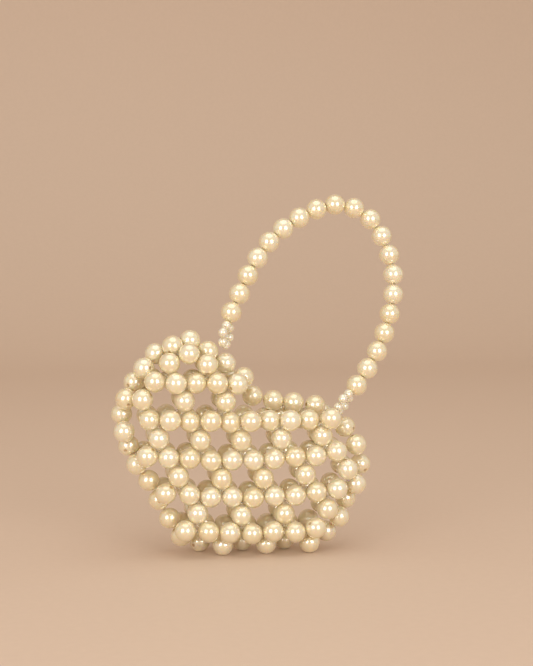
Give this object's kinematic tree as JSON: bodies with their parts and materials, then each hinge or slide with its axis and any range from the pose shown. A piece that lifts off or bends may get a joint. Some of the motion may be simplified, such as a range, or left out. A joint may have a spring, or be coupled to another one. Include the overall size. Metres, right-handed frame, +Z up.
{
  "type": "beaded heart basket bag",
  "caption": "Small heart-shaped basket bag woven from pearl beads on clear line, open between two lobes, with an arched strung-pearl handle on seed-pearl rings.",
  "frame": {"origin": "on the ground, at the middle of the overall width and depth", "axes": "+Z up; the heart's face looks along -Y and the handle stands up to +X; +X to the right as seen from the front"},
  "size_m": [0.1444, 0.0438, 0.1719],
  "materials": {
    "pearl": "ivory imitation pearl, pearlescent gloss",
    "handle_pearl": "ivory imitation pearl, pearlescent gloss",
    "seed_pearl": "ivory imitation seed pearl, pearlescent gloss"
  },
  "bodies": {
    "bag": {"back_crown": "pearl", "back_link_1_1": "pearl", "back_link_1_2": "pearl", "back_link_1_3": "pearl", "back_link_1_4": "pearl", "back_link_2_1": "pearl", "back_link_2_2": "pearl", "back_link_2_3": "pearl", "back_link_2_4": "pearl", "back_link_2_5": "pearl", "back_link_3_1": "pearl", "back_link_3_2": "pearl", "back_link_3_3": "pearl", "back_link_3_4": "pearl", "back_link_3_5": "pearl", "back_link_4_1": "pearl", "back_link_4_2": "pearl", "back_link_4_3": "pearl", "back_row_1": "pearl", "back_row_2": "pearl", "back_row_3": "pearl", "back_row_4": "pearl", "back_row_5": "pearl", "base_chain": "pearl", "front_crown": "pearl", "front_link_1_1": "pearl", "front_link_1_2": "pearl", "front_link_1_3": "pearl", "front_link_1_4": "pearl", "front_link_2_1": "pearl", "front_link_2_2": "pearl", "front_link_2_3": "pearl", "front_link_2_4": "pearl", "front_link_2_5": "pearl", "front_link_3_1": "pearl", "front_link_3_2": "pearl", "front_link_3_3": "pearl", "front_link_3_4": "pearl", "front_link_3_5": "pearl", "front_link_4_1": "pearl", "front_link_4_2": "pearl", "front_link_4_3": "pearl", "front_row_1": "pearl", "front_row_2": "pearl", "front_row_3": "pearl", "front_row_4": "pearl", "front_row_5": "pearl", "left_lobe_edge": "pearl", "left_side": "pearl", "mouth_edge": "pearl", "right_side": "pearl"},
    "handle": {"handle_strand": "handle_pearl", "left_seed_ring": "seed_pearl", "right_seed_ring": "seed_pearl"}
  },
  "joints": [
    {"name": "handle_swing", "type": "hinge", "parent": "bag", "child": "handle", "pos_m": [0.01085, -0.00431, 0.08824], "axis": [0.864, 0, -0.5036], "range_deg": [-56, 76]}
  ]
}
